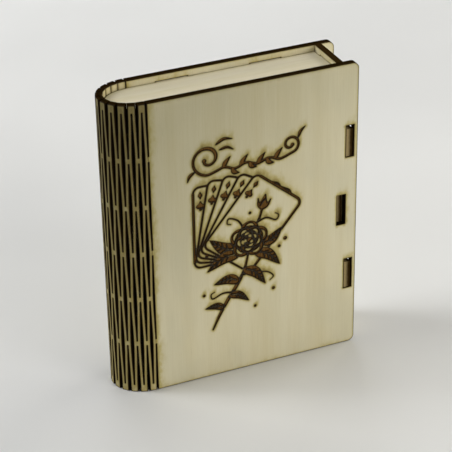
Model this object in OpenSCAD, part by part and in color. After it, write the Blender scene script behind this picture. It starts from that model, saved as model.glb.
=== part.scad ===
// A book-shaped plywood box for two decks of playing cards, standing upright.
// One sheet makes the front cover, the slit hinge round the spine and the back cover.
// The boards, the fore-edge wall and the divider are tabbed and glued into the back cover.
// Frame: X to the fore-edge, Y to the back cover, Z up, origin at the bottom centre of the closed box.

/* [Box] */
// Height of the covers
box_h = 136; // [126:1:150]
// Width of a cover, from the start of the spine's bend to its fore-edge
cover_w = 93.8; // [88:0.1:105]
// Depth over both covers
box_d = 26.4; // [25:0.1:30]
// Thickness of the plywood
ply = 3; // [2.8:0.1:3.2]
// Radius of the covers' fore-edge corners
corner_r = 2.8; // [2:0.2:6]
// Overhang of the covers past the fore-edge wall
overhang = 6; // [6:0.1:8]

/* [Hinge] */
// Number of strips that the hinge is slit into
strip_count = 22; // [18:2:24]
// How far the bend is flattened next to the covers, in degrees of turn
bend_ease = 9.2; // [0:0.2:10]
// Width of a slit at its ends
slit = 0.35; // [0.2:0.05:0.4]
// Width of a strip
strip_w = 1.3; // [1:0.05:1.4]
// Height from one row of bridges to the next
row_pitch = 21.7; // [19:0.1:23]
// Height of a bridge between two strips
bridge_h = 2.5; // [1.5:0.1:4]
// Height of the bridges along the top and bottom edges
edge_bridge_h = 3.6; // [2:0.1:5]

/* [Joints] */
// Length of a tab that holds a board or the wall
tab_l = 14; // [10:0.5:16]
// Gap round a glued tab
tab_gap = 0.1; // [0.05:0.05:0.2]
// How far a tab's end stays below the face it comes out of
tab_recess = 0.1; // [0:0.05:0.3]

/* [Closure] */
// Height of the two slots for the closure strip
slot_h = 14.8; // [13:0.1:16]
// Height of the slot for the wall's catch
catch_slot_h = 14.3; // [13:0.1:16]
// Height from the catch slot's middle to the middle of the other slots
slot_offset = 32.3; // [28:0.1:36]
// Depth of the closure strip, inwards from the front cover
closure_d = 9; // [6:0.5:11]
// How far the wall's catch reaches into the front cover
catch_reach = 0.8; // [0.5:0.1:2]

/* [Hidden] */
$fn = 96;

mid_h = box_h / 2;
half_d = box_d / 2;
inner_half_d = half_d - ply;
// Gap between the front cover and the edges that it closes against
cover_gap = 0.2;

// The hinge bends as a chain of flat links: two strips and the bridges that hold them a slit apart.
// Neighbouring links turn about a line near the middle of the strip that they share.
strip_x = slit / 2 + strip_w / 2;
link_half = slit / 2 + strip_w;
mid_r = half_d - ply / 2;
hinge_links = [1 : strip_count - 1];
function sum(list, i = 0) = i == len(list) ? 0 : list[i] + sum(list, i + 1);

// How far link k has turned from the front cover, and where its middle is from the start of the bend
function link_turn(k) = 180 * k / strip_count - bend_ease * sin(360 * k / strip_count);
link_pitch = 2 * mid_r / sum([for (k = hinge_links) sin(link_turn(k))]);
function halfway(k) = link_pitch / 2 * [-cos(link_turn(k)), sin(link_turn(k))];
function link_middle(k) = k == 0 ? [0, -mid_r] : link_middle(k - 1) + halfway(k - 1) + halfway(k);
function inwards(k) = [sin(link_turn(k)), cos(link_turn(k))];
function link_reach(k) = ply / 2 * inwards(k).x - link_middle(k).x + link_half * abs(inwards(k).y);
spine_reach = max([for (k = hinge_links) link_reach(k)]);

// The spine's bend starts on this line, and the origin is the middle of the whole length.
spine_x = (spine_reach - cover_w) / 2;

// Rows of bridges from the bottom up: even rows belong to odd links, and odd rows to even links.
row_gap = 0.1;
row_z = [
    edge_bridge_h / 2,
    for (i = [-2 : 2]) mid_h + i * row_pitch,
    box_h - edge_bridge_h / 2
];
last_row = len(row_z) - 1;
function row_start(i) = i == 0 ? 0 : (row_z[i - 1] + row_z[i] + row_gap) / 2;
function row_end(i) = i == last_row ? box_h : (row_z[i] + row_z[i + 1] - row_gap) / 2;
function row_bridge_h(i) = (i == 0 || i == last_row) ? edge_bridge_h : bridge_h;

// Heights of the undersides of the three boards
board_z = [ply, mid_h - ply / 2, box_h - 2 * ply];
board_end_gap = 0.35;
board_lead = 2;
board_tab_x = [20, 62];
wall_tab_w = 10;

wall_out = cover_w - overhang;
wall_in = wall_out - ply;
wall_tab_z = [mid_h - slot_offset, mid_h + slot_offset];

closure_slot_x = wall_out + 0.5;
closure_slot_w = ply + 0.8;
closure_x = closure_slot_x + 0.35;
closure_tab_h = slot_h - 2.1;
closure_tab_rise = 0.15;
closure_tab_recess = 0.4;
closure_corner_r = 3;
catch_slot_x = wall_in - 0.3;
catch_slot_w = ply + 1.1;

link_names = [for (k = hinge_links) str("spine_link_", k < 10 ? "0" : "", k)];

// Stands a shape drawn in X and Z on edge, with its outer face at -Y on the front cover's side.
module upright() {
    translate([spine_x, -inner_half_d, 0])
        rotate([90, 0, 0])
            linear_extrude(ply) children();
}

// A rectangle centred on [x, z]
module window(x, z, w, h) {
    translate([x - w / 2, z - h / 2]) square([w, h]);
}

// One strip's stretch of row i, with its middle at x
module strip(i, x) {
    translate([x - strip_w / 2, row_start(i)]) square([strip_w, row_end(i) - row_start(i)]);
}

// Row i's bridge over the slit at x = 0, from the middle of one strip to the middle of the next
module bridge(i) {
    window(0, row_z[i], 2 * strip_x, row_bridge_h(i));
}

// The outline of a cover, with the half strips that its own row of bridges holds
module cover_outline() {
    panel_w = cover_w - slit / 2;
    translate([slit / 2, 0]) square([panel_w - corner_r, box_h]);
    translate([slit / 2, corner_r]) square([panel_w, box_h - 2 * corner_r]);
    for (z = [corner_r, box_h - corner_r])
        translate([cover_w - corner_r, z]) circle(corner_r);
    for (i = [1 : 2 : last_row]) {
        strip(i, -strip_x);
        bridge(i);
    }
}

module front_cover() {
    color("wheat")
        upright()
            difference() {
                cover_outline();
                window(catch_slot_x + catch_slot_w / 2, mid_h, catch_slot_w, catch_slot_h);
                for (z = [mid_h - slot_offset, mid_h + slot_offset])
                    window(closure_slot_x + closure_slot_w / 2, z, closure_slot_w, slot_h);
            }
}

module back_cover() {
    color("wheat")
        translate([0, half_d + inner_half_d, 0])
            upright()
                difference() {
                    cover_outline();
                    for (x = board_tab_x, z = board_z)
                        window(x, z + ply / 2, tab_l + 2 * tab_gap, ply + 2 * tab_gap);
                    for (z = wall_tab_z)
                        window(wall_in + ply / 2, z, ply + 2 * tab_gap, tab_l + 2 * tab_gap);
                }
}

// Link k of the hinge, in its place round the bend
module spine_link(k) {
    color("tan")
        translate([spine_x + link_middle(k).x, link_middle(k).y, 0])
            rotate([0, 0, -link_turn(k)])
                translate([-spine_x, mid_r, 0])
                    upright()
                        for (i = [(k + 1) % 2 : 2 : last_row]) {
                            strip(i, -strip_x);
                            strip(i, strip_x);
                            bridge(i);
                        }
}

// A board with a round spine end, two tabs for the back cover and one for the wall
module board(z) {
    color("cornsilk")
        translate([spine_x, 0, z])
            linear_extrude(ply) {
                polygon([
                    for (k = [0 : strip_count]) link_middle(k) + (ply / 2 + board_end_gap) * inwards(k),
                    [board_lead, inner_half_d],
                    [wall_in, inner_half_d],
                    [wall_in, cover_gap - inner_half_d],
                    [board_lead, cover_gap - inner_half_d]
                ]);
                for (x = board_tab_x)
                    translate([x - tab_l / 2, inner_half_d - ply])
                        square([tab_l, 2 * ply - tab_recess]);
                translate([wall_in - ply, -wall_tab_w / 2])
                    square([2 * ply - tab_recess, wall_tab_w]);
            }
}

module bottom_board() {
    board(board_z[0]);
}

module deck_divider() {
    board(board_z[1]);
}

module top_board() {
    board(board_z[2]);
}

// Stands a shape drawn in Y and Z on edge, from x towards the fore-edge.
module crosswise(x) {
    translate([spine_x + x, 0, 0])
        rotate([90, 0, 90])
            linear_extrude(ply) children();
}

module fore_edge_wall() {
    catch_h = catch_slot_h - 0.6;
    color("wheat")
        crosswise(wall_in)
            difference() {
                union() {
                    translate([cover_gap - inner_half_d, 0])
                        square([2 * inner_half_d - cover_gap, box_h]);
                    translate([-inner_half_d - catch_reach, mid_h - catch_h / 2])
                        square([ply, catch_h]);
                    for (z = wall_tab_z)
                        translate([inner_half_d - ply, z - tab_l / 2])
                            square([2 * ply - tab_recess, tab_l]);
                }
                for (z = board_z)
                    window(0, z + ply / 2, wall_tab_w + 2 * tab_gap, ply + 2 * tab_gap);
            }
}

module closure_strip() {
    low = mid_h - slot_offset - slot_h / 2 + closure_tab_rise;
    high = mid_h + slot_offset - slot_h / 2 + closure_tab_rise + closure_tab_h;
    color("burlywood")
        crosswise(closure_x)
            union() {
                translate([-inner_half_d, low])
                    square([closure_d - closure_corner_r, high - low]);
                translate([-inner_half_d, low + closure_corner_r])
                    square([closure_d, high - low - 2 * closure_corner_r]);
                for (z = [low + closure_corner_r, high - closure_corner_r])
                    translate([closure_d - closure_corner_r - inner_half_d, z])
                        circle(closure_corner_r);
                for (z = [low, high - closure_tab_h])
                    translate([closure_tab_recess - half_d, z])
                        square([2 * ply - closure_tab_recess, closure_tab_h]);
            }
}

back_cover();
front_cover();
top_board();
bottom_board();
deck_divider();
fore_edge_wall();
closure_strip();
for (k = hinge_links)
    spine_link(k);
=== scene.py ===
"""Looks of a book-shaped plywood card box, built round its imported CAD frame.

Every flat part is a laser-cut plate: an outline with holes, a thickness, and faces that carry how far each
point is from the laser's cuts. The hinge's strips twist from one link to the next, and its bridges ride on
the links. Plate sizes are in millimetres, and meshes are written in metres.
"""

import math

import bmesh
import bpy
import numpy as np
from mathutils import Matrix, Vector
from mathutils.geometry import delaunay_2d_cdt


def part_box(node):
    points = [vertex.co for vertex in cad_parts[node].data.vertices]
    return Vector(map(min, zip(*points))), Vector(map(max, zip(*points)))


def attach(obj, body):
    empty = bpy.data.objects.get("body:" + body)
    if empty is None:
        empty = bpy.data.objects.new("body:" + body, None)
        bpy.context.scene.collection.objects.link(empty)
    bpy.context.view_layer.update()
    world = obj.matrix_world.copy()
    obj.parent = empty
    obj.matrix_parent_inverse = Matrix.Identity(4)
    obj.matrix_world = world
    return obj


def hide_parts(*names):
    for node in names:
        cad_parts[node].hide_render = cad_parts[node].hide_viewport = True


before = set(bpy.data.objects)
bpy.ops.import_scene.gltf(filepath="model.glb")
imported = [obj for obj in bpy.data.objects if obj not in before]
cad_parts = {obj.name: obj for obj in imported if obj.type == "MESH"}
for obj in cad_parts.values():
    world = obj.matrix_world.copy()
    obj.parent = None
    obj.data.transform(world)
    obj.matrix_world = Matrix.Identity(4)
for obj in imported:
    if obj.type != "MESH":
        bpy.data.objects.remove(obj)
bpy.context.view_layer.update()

MM = 0.001


def box_mm(node):
    """Lowest and highest corners of a CAD node, in millimetres."""
    low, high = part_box(node)
    return np.array(low) / MM, np.array(high) / MM


# ---- sizes, from the frame
FRONT_LOW, FRONT_HIGH = box_mm("front_cover")
WALL_LOW, WALL_HIGH = box_mm("fore_edge_wall")
CLOSURE_LOW, CLOSURE_HIGH = box_mm("closure_strip")
PLY = FRONT_HIGH[1] - FRONT_LOW[1]
HEIGHT = FRONT_HIGH[2]
MID = HEIGHT / 2
OUTER = -FRONT_LOW[1]
INNER = OUTER - PLY

# The slit hinge: flat links round the spine, turning about lines inside the strips that they share
STRIPS = 1 + sum(name.startswith("spine_link_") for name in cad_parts)
LINK_LOW, LINK_HIGH = box_mm(f"spine_link_{STRIPS // 2:02d}")
SLIT = 0.35
STRIP_W = (LINK_HIGH[1] - LINK_LOW[1] - SLIT) / 2
STRIP_X = (SLIT + STRIP_W) / 2
SPINE_X = FRONT_LOW[0] + SLIT / 2 + STRIP_W
BEND_EASE = 9.2
LINK_SHARE = np.arange(STRIPS + 1) / STRIPS
LINK_TURN = np.radians(180 * LINK_SHARE - BEND_EASE * np.sin(2 * math.pi * LINK_SHARE))
PITCH = 2 * (OUTER - PLY / 2) / np.sin(LINK_TURN).sum()
LINK_ALONG = np.stack([-np.cos(LINK_TURN), np.sin(LINK_TURN)], 1)
LINK_INWARD = np.stack([np.sin(LINK_TURN), np.cos(LINK_TURN)], 1)
LINK_STEPS = PITCH / 2 * (LINK_ALONG[:-1] + LINK_ALONG[1:])
LINK_MIDDLE = np.cumsum(np.concatenate([[(0, PLY / 2 - OUTER)], LINK_STEPS]), axis=0)
ROW_PITCH = 21.7
BRIDGE_H = 2.5
EDGE_BRIDGE_H = 3.6
# The rows of bridges, as their bottoms and tops
EVEN_ROWS = [(MID + i * ROW_PITCH - BRIDGE_H / 2, MID + i * ROW_PITCH + BRIDGE_H / 2) for i in (-2, 0, 2)]
ODD_ROWS = [(MID + i * ROW_PITCH - BRIDGE_H / 2, MID + i * ROW_PITCH + BRIDGE_H / 2) for i in (-1, 1)]
ODD_ROWS += [(0.0, EDGE_BRIDGE_H), (HEIGHT - EDGE_BRIDGE_H, HEIGHT)]
ROWS = sorted(EVEN_ROWS + ODD_ROWS)

# The covers and the wall
COVER_W = FRONT_HIGH[0] - SPINE_X
WALL_OUT = WALL_HIGH[0] - SPINE_X
WALL_IN = WALL_LOW[0] - SPINE_X

# Corners, tabs and slots
CORNER_R = 2.8
BOARD_END_GAP = 0.35
BOARD_GAP = 0.2
BOARD_LEAD = 2
TAB_L = 14
TAB_GAP = 0.1
TAB_RECESS = 0.1
BOARD_TAB_X = (20, 62)
WALL_TAB_W = 10
BOARD_Z = (PLY, MID - PLY / 2, HEIGHT - 2 * PLY)
SLOT_Z = (MID - 32.3, MID + 32.3)
SLOT_H = 14.8
SLOT_X = (WALL_OUT + 0.5, WALL_OUT + 0.5 + PLY + 0.8)
CATCH_SLOT_H = 14.3
CATCH_SLOT_X = (WALL_IN - 0.3, WALL_IN + PLY + 0.8)
CATCH_H = CATCH_SLOT_H - 0.6
CATCH_REACH = 0.8
CLOSURE_TAB_H = SLOT_H - 2.1
CLOSURE_CORNER_R = 3

# Meshing: a cut's eased corners, the steps along edges and over faces, how near to a cut free points come,
# the depth of the carving, and the distance up to which a cut is felt
EASE = 0.07
EDGE_STEP = 1.5
FACE_STEP = 1.8
FACE_CLEAR = 0.22
BESIDE_CUT = (0.3, 0.8)
ART_STEP = 0.55
ART_CELL = 0.22
ART_CLEAR = 0.16
ART_DEPTH = 0.35
ART_UNEVEN = 0.05
FAR = 3.0


# ---- plane geometry
def rectangle(x0, y0, x1, y1):
    """Counter-clockwise corners of a rectangle."""
    return np.array([(x0, y0), (x1, y0), (x1, y1), (x0, y1)], float)


def arc(centre, radius, start, end, count=12):
    """Points along an arc, with the angles in degrees."""
    angles = np.radians(np.linspace(start, end, count + 1))
    return [(centre[0] + radius * math.cos(a), centre[1] + radius * math.sin(a)) for a in angles]


def sides(loop):
    """The two ends of each side of a closed loop."""
    return zip(loop, np.roll(loop, -1, axis=0))


def resample(loop, step):
    """The closed loop with each edge cut into pieces no longer than step."""
    points = []
    for a, b in sides(loop):
        count = max(1, math.ceil(np.linalg.norm(b - a) / step))
        points += [a + (b - a) * i / count for i in range(count)]
    return np.array(points)


def offset(loop, distance):
    """The closed loop moved to the left of its direction, which is the material's side."""
    before = loop - np.roll(loop, 1, axis=0)
    after = np.roll(loop, -1, axis=0) - loop
    before /= np.linalg.norm(before, axis=1)[:, None]
    after /= np.linalg.norm(after, axis=1)[:, None]
    left = np.stack([-(before + after)[:, 1], (before + after)[:, 0]], 1)
    left /= np.linalg.norm(left, axis=1)[:, None]
    cosine = np.clip((left * np.stack([-after[:, 1], after[:, 0]], 1)).sum(1), 0.5, 1)
    return loop + left * (distance / cosine)[:, None]


def inside(points, loops):
    """Which points lie inside the loops, by the even-odd rule."""
    hits = np.zeros(len(points), int)
    x, y = points[:, 0], points[:, 1]
    for loop in loops:
        for (ax, ay), (bx, by) in sides(loop):
            if ay != by:
                crosses = (ay > y) != (by > y)
                hits += crosses & (x < (bx - ax) * (y - ay) / (by - ay) + ax)
    return hits % 2 == 1


def segment_distance(points, a, b):
    """Distance of each point to the segment a-b, and how far along the segment its nearest point is."""
    ab = b - a
    t = np.clip(((points - a) @ ab) / max(ab @ ab, 1e-12), 0, 1)
    return np.linalg.norm(points - a - t[:, None] * ab, axis=1), t


def loops_distance(points, loops):
    """Distance of each point to the nearest loop, up to FAR."""
    best = np.full(len(points), FAR)
    for loop in loops:
        for a, b in sides(loop):
            low, high = np.minimum(a, b) - FAR, np.maximum(a, b) + FAR
            near = np.all((points > low) & (points < high), axis=1)
            if near.any():
                best[near] = np.minimum(best[near], segment_distance(points[near], a, b)[0])
    return best


def triangulate(points, edges):
    """Constrained triangles over the points, and the input point of each output point, or -1."""
    out = delaunay_2d_cdt([Vector(p) for p in points], edges, [], 0, 1e-7)
    corners = np.array([tuple(v) for v in out[0]])
    return corners, np.array(out[2]), [ids[0] if ids else -1 for ids in out[3]]


def grid_points(low, high, step):
    """Staggered rows of points over a rectangle."""
    rows = []
    for j, y in enumerate(np.arange(low[1] + step / 2, high[1], step * 0.87)):
        x = np.arange(low[0] + step * (0.25 + 0.5 * (j % 2)), high[0], step)
        rows.append(np.stack([x, np.full(len(x), y)], 1))
    return np.concatenate(rows)


def lattice(x, y):
    """Every pair of an x and a y, x by x."""
    return np.stack(np.meshgrid(x, y, indexing="ij"), -1).reshape(-1, 2)


def bilinear(grid, at):
    """The grid's values at places given in cells."""
    i, j = at.astype(int).T
    u, v = (at - at.astype(int)).T
    near = grid[i, j] * (1 - u) + grid[i + 1, j] * u
    far = grid[i, j + 1] * (1 - u) + grid[i + 1, j + 1] * u
    return near * (1 - v) + far * v


# ---- burnt decoration: a field of strokes
CATMULL_ROM = np.array([(0, 2, 0, 0), (-1, 0, 1, 0), (2, -5, 4, -1), (-1, 3, -3, 1)]) / 2


def smooth_curve(points, per_span=10):
    """A Catmull-Rom curve through the points."""
    p = np.array(points, float)
    p = np.concatenate([[2 * p[0] - p[1]], p, [2 * p[-1] - p[-2]]])
    powers = np.linspace(0, 1, per_span, endpoint=False)[:, None] ** np.arange(4)
    spans = [powers @ CATMULL_ROM @ p[i:i + 4] for i in range(len(p) - 3)]
    return np.concatenate(spans + [p[-2:-1]])


def stroke(points, width, profile="even", per_span=10):
    """Tapered segments along a curve: (a, b, radius at a, radius at b)."""
    curve = smooth_curve(points, per_span)
    t = np.linspace(0, 1, len(curve))
    shape = {
        "even": np.ones_like(t),
        "blade": np.sin(np.pi * t) ** 0.8,
        "swell": 0.35 + 0.65 * np.sin(np.pi * t),
        "fade": 1 - 0.8 * t,
        "leaf": np.sin(np.pi * t ** 0.75) ** 0.9,
    }[profile]
    radius = np.maximum(width / 2 * shape, 0.05)
    return [(curve[i], curve[i + 1], radius[i], radius[i + 1]) for i in range(len(curve) - 1)]


def line(points, width):
    """Straight segments of one width through the points."""
    return [(a, b, width / 2, width / 2) for a, b in zip(points, points[1:])]


def dots(*items):
    """Discs given as (x, y, radius)."""
    return [(np.array((x, y)), np.array((x, y + 1e-4)), r, r) for x, y, r in items]


def wedge(x0, y0, r0, x1, y1, r1):
    """One tapered segment."""
    return [(np.array((x0, y0), float), np.array((x1, y1), float), r0, r1)]


def moved(shape, x, y, size=1.0, turn=0.0):
    """The shape scaled, turned anticlockwise by turn degrees and moved to (x, y)."""
    c, s = math.cos(math.radians(turn)), math.sin(math.radians(turn))
    spin = np.array([(c, -s), (s, c)]) * size
    return [(spin @ a + (x, y), spin @ b + (x, y), ra * size, rb * size) for a, b, ra, rb in shape]


SPADE = (wedge(0, 2.1, 0.05, 0, 0, 1.25) + dots((-0.95, -0.45, 0.95), (0.95, -0.45, 0.95))
         + wedge(0, -0.6, 0.2, 0, -2.1, 0.5))
DIAMOND = wedge(0, 1.9, 0.05, 0, 0, 1.0) + wedge(0, -1.9, 0.05, 0, 0, 1.0)


class Field:
    """Signed distance to the burnt shapes on a grid, negative inside them, in the front cover's own axes."""

    def __init__(self, low, high, cell):
        self.low, self.cell = np.array(low, float), cell
        self.x = np.arange(low[0], high[0], cell)
        self.y = np.arange(low[1], high[1], cell)
        self.value = np.full((len(self.x), len(self.y)), FAR)

    def shape_distance(self, shape, grow=0.0):
        """The shape's own signed distance on the whole grid."""
        own = np.full_like(self.value, FAR)
        for a, b, ra, rb in shape:
            reach = max(ra, rb) + grow + FAR
            i0, i1 = np.searchsorted(self.x, (min(a[0], b[0]) - reach, max(a[0], b[0]) + reach))
            j0, j1 = np.searchsorted(self.y, (min(a[1], b[1]) - reach, max(a[1], b[1]) + reach))
            distance, t = segment_distance(lattice(self.x[i0:i1], self.y[j0:j1]), a, b)
            distance = (distance - ra - (rb - ra) * t - grow).reshape(i1 - i0, j1 - j0)
            own[i0:i1, j0:j1] = np.minimum(own[i0:i1, j0:j1], distance)
        return own

    def burn(self, shape):
        self.value = np.minimum(self.value, self.shape_distance(shape))

    def clear(self, shape, grow=0.0):
        self.value = np.maximum(self.value, -self.shape_distance(shape, grow))

    def draw(self, shape, rim):
        """Burns a shape and leaves a pale rim between it and what was there before."""
        self.clear(shape, rim)
        self.burn(shape)

    def clear_inside(self, loop):
        """Leaves nothing burnt inside a convex outline."""
        points = lattice(self.x, self.y)
        depth = np.full(len(points), FAR)
        for a, b in sides(loop):
            normal = np.array((-(b - a)[1], (b - a)[0])) / np.linalg.norm(b - a)
            depth = np.minimum(depth, (points - a) @ normal)
        self.value = np.maximum(self.value, depth.reshape(self.value.shape))

    def sample(self, points):
        """The field at the points, by bilinear interpolation, and FAR outside the grid."""
        at = (points - self.low) / self.cell
        ok = np.all((at >= 0) & (at < np.array(self.value.shape) - 1), axis=1)
        out = np.full(len(points), FAR)
        out[ok] = bilinear(self.value, at[ok])
        return out

    def outline(self):
        """The points and edges where the field is zero, by marching squares."""
        v = self.value
        burnt = v < 0
        number = {}
        points = []

        def crossing(i, j, k, m):
            if (i, j, k, m) not in number:
                t = np.clip(v[i, j] / (v[i, j] - v[k, m]), 0.1, 0.9)
                number[(i, j, k, m)] = len(points)
                points.append((self.x[i] + (self.x[k] - self.x[i]) * t,
                               self.y[j] + (self.y[m] - self.y[j]) * t))
            return number[(i, j, k, m)]

        total = burnt[:-1, :-1].astype(int) + burnt[1:, :-1] + burnt[:-1, 1:] + burnt[1:, 1:]
        edges = []
        for i, j in zip(*np.nonzero((total > 0) & (total < 4))):
            cell_sides = ((i, j, i + 1, j), (i + 1, j, i + 1, j + 1),
                          (i, j + 1, i + 1, j + 1), (i, j, i, j + 1))
            cut = [crossing(*c) for c in cell_sides if burnt[c[0], c[1]] != burnt[c[2], c[3]]]
            if len(cut) == 2:
                edges.append((cut[0], cut[1]))
            elif burnt[i, j] == (v[i:i + 2, j:j + 2].mean() < 0):
                edges += [(cut[0], cut[1]), (cut[2], cut[3])]
            else:
                edges += [(cut[0], cut[3]), (cut[1], cut[2])]
        return np.array(points), edges


FAN_PIVOT = np.array((33.8, 55.4))
FAN_CARDS = 5
CARD_SIZE = np.array((27.6, 38.2))
CARD_AT = np.array((-15.2, 0.3))
CARD_R = 2.8
CARD_TURN = 10.0
THIN_LINE = 0.62
THICK_LINE = 0.95


def on_card(points, turn):
    """Points of a card's own plane on the cover, with the card turned clockwise about the fan's pivot."""
    c, s = math.cos(math.radians(turn)), math.sin(math.radians(turn))
    return (np.array(points) + CARD_AT) @ np.array([(c, -s), (s, c)]) + FAN_PIVOT


def card_fan(field):
    """Five cards with pips, each over the one before, and a heavier line along the fan's two outer sides."""
    w, h = CARD_SIZE
    r = CARD_R
    outline = arc((w - r, r), r, -90, 0, 5) + arc((w - r, h - r), r, 0, 90, 5)
    outline += arc((r, h - r), r, 90, 180, 5) + arc((r, r), r, 180, 270, 5)
    for i in range(FAN_CARDS):
        turn = CARD_TURN * i
        loop = on_card(outline, turn)
        field.clear_inside(loop)
        field.burn(line(np.concatenate([loop, loop[:1]]), THIN_LINE))
        upper, lower = on_card([(3.2, h - 4.0), (3.2, h - 8.6)], turn)
        field.burn(moved(DIAMOND, *upper, 0.85, -turn))
        field.burn(moved(SPADE, *lower, 0.92, -turn))
    field.burn(stroke(on_card([(0, r), (0, h / 2), (0, h - r)], 0), THICK_LINE))
    far_side = [(r, h)] + arc((w - r, h - r), r, 90, 0, 5) + [(w, r)]
    field.burn(line(on_card(far_side, CARD_TURN * (FAN_CARDS - 1)), THICK_LINE))


LEAF_PALE_RIM = 0.45
LEAF_RIB_AT = (0.08, 0.25, 0.42, 0.58, 0.74, 0.9)


def leaf(field, root, tip, bend, width):
    """A pointed leaf from root to tip, bowed to the left by bend, with its midrib and veins left pale."""
    root, tip = np.array(root, float), np.array(tip, float)
    along = tip - root
    side = np.array((-along[1], along[0])) * bend
    across = np.array((-along[1], along[0])) / np.linalg.norm(along)
    blade = stroke([root, root + 0.4 * along + side, tip], width, "leaf", 12)
    field.draw(blade, LEAF_PALE_RIM)
    rib = [(t, root + t * along + side * math.sin(math.pi * t ** 0.75)) for t in LEAF_RIB_AT]
    field.clear(stroke([point for t, point in rib], 0.62, "fade", 4))
    for t, foot in rib[1:-1]:
        for sign in (-1, 1):
            reach = sign * 0.34 * width * math.sin(math.pi * t ** 0.75)
            field.clear(wedge(*foot, 0.24, *(foot + 0.13 * along + reach * across), 0.12))


def rose(field, x, y, size):
    """A full rose: rings of petals, each over the ones outside it, with a pale line and a pale crescent."""
    rings = ((5, 0.56, 0.50, 14), (5, 0.37, 0.37, 50), (4, 0.22, 0.26, 20), (3, 0.10, 0.16, 75))
    for count, out, petal, turn in rings:
        for i in range(count):
            heading = turn + 360 / count * i
            middle = arc((x, y), size * out, heading, heading, 1)[0]
            field.draw(dots((*middle, size * petal)), 0.4)
            crescent = arc(middle, size * petal * 0.62, heading - 66, heading + 56, 6)
            field.clear(stroke(crescent, size * 0.16, "blade", 3))


def bud(field, x, y, size, turn):
    """A rosebud that stands on two sepals."""
    field.burn(moved(dots((0, 0, 0.62)) + wedge(0, 0.15, 0.6, 0, 1.5, 0.1), x, y, size, turn))
    field.clear(moved(stroke([(-0.35, -0.2), (-0.1, 0.5), (0.28, 1.0)], 0.16, "blade", 6), x, y, size, turn))
    for sign in (-1, 1):
        sepal = [(0, -0.7), (0.6 * sign, -0.1), (0.95 * sign, 0.9)]
        field.burn(moved(stroke(sepal, 0.34, "blade", 6), x, y, size, turn))


STEM = ((43, 57), (41, 49.5), (37.6, 43), (33.2, 36.5), (29.4, 30), (26.2, 23.4))
BUD_STEM = ((45.5, 69), (48.2, 73), (49.6, 77.5))
TENDRILS = (
    ((47.5, 71.5), (51.5, 72.6), (55.8, 70.6), (57.2, 72.6), (55.6, 74.0)),
    ((41.0, 70.0), (38.4, 74.2), (34.4, 76.0), (33.6, 73.8), (35.2, 73.0)),
    ((39.6, 47.4), (45.4, 47.0), (51.4, 46.2), (54.6, 43.4), (53.0, 41.6)),
    ((35.4, 40.0), (31.0, 40.4), (26.4, 38.8), (25.6, 41.0), (27.2, 42.0)),
)
LEAVES = (
    # root, tip, bend and width
    ((37.5, 61.0), (25.6, 67.6), 0.12, 5.6),
    ((50.0, 60.5), (58.6, 66.4), -0.12, 4.6),
    ((38.5, 57.5), (24.2, 52.6), -0.14, 5.4),
    ((46.5, 56.5), (57.6, 48.6), 0.14, 5.2),
    ((41.0, 49.5), (50.8, 40.6), 0.14, 4.8),
    ((38.2, 44.5), (27.2, 45.6), -0.16, 4.6),
    ((34.4, 38.4), (43.0, 34.0), 0.14, 3.6),
    ((31.2, 33.0), (23.0, 34.6), -0.14, 3.2),
)
BERRIES = (
    # x, y and radius
    (60.2, 60.6, 0.75), (57.4, 57.4, 0.55), (24.2, 60.6, 0.6), (54.6, 37.2, 0.6),
    (22.4, 41.4, 0.55), (44.0, 76.6, 0.5), (46.0, 30.4, 0.5),
)


def rose_spray(field):
    """A rose with a bud, leaves, tendrils and berries, in front of the fan."""
    stems = [stroke(STEM, 1.5, "swell", 12), stroke(BUD_STEM, 0.8, "even", 6)]
    for shape in stems + [stroke(points, 0.6, "fade") for points in TENDRILS]:
        field.draw(shape, 0.5)
    for one in LEAVES:
        leaf(field, *one)
    bud(field, 50.0, 79.0, 3.1, -14)
    rose(field, 43.4, 64.0, 8.2)
    field.burn(dots(*BERRIES))


def spiral(centre, start_r, end_r, power, start, end, count):
    """Points along a spiral, with the angles in degrees."""
    steps = zip(np.linspace(0, 1, count), np.linspace(start, end, count))
    return [arc(centre, start_r + (end_r - start_r) * t ** power, a, a, 1)[0] for t, a in steps]


VINE_Z = 99.9
VINE_LEAVES = 7
FLICKS = (
    # three points and the width
    ((29.0, 111.6), (32.6, 113.6), (36.4, 113.0), 1.2),
    ((30.6, 109.0), (34.0, 109.6), (37.0, 108.0), 1.0),
    ((66.2, 107.2), (67.2, 109.8), (69.4, 111.8), 1.2),
    ((19.6, 101.2), (17.4, 99.6), (16.4, 97.2), 1.2),
)


def vine(field):
    """A running vine between two curls, with a leaf on alternate sides at each wave."""
    def wave(x):
        return VINE_Z + 0.8 * math.sin((x - 30) * 0.62)

    curl = spiral((25.2, 105.8), 1.3, 7.2, 0.85, -520, -90, 15)
    waves = [(x, wave(x)) for x in np.arange(30.0, 59.1, 2.2)]
    tail = spiral((62.6, 104.9), 4.4, 1.1, 1, -90, 330, 12)
    field.burn(stroke(curl + waves + tail, 0.92, "even", 5))
    field.burn(stroke(curl[3:12], 1.4, "swell", 5))
    field.burn(dots((*curl[0], 0.8), (*tail[-1], 0.75)))
    for i in range(VINE_LEAVES):
        x = 32.4 + 3.9 * i
        up, reach = (1, 4.4) if i % 2 == 0 else (-1, 2.6)
        root = (x, wave(x))
        tip = (x + 3.1, root[1] + up * reach)
        field.burn(stroke([root, (x + 0.9, root[1] + up * 1.9), tip], 1.9, "leaf", 8))
    for *points, width in FLICKS:
        field.burn(stroke(points, width, "leaf", 8))


def decoration():
    """The whole burnt decoration of the front cover."""
    field = Field((14, 20), (72, 118), ART_CELL)
    card_fan(field)
    rose_spray(field)
    vine(field)
    return field


# ---- smoke stains
SMOKE_CELL = 0.5
SMOKE_RISE = 2.5
SMOKE_REACH = 0.5
GUST_WIDTH = 3


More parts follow.
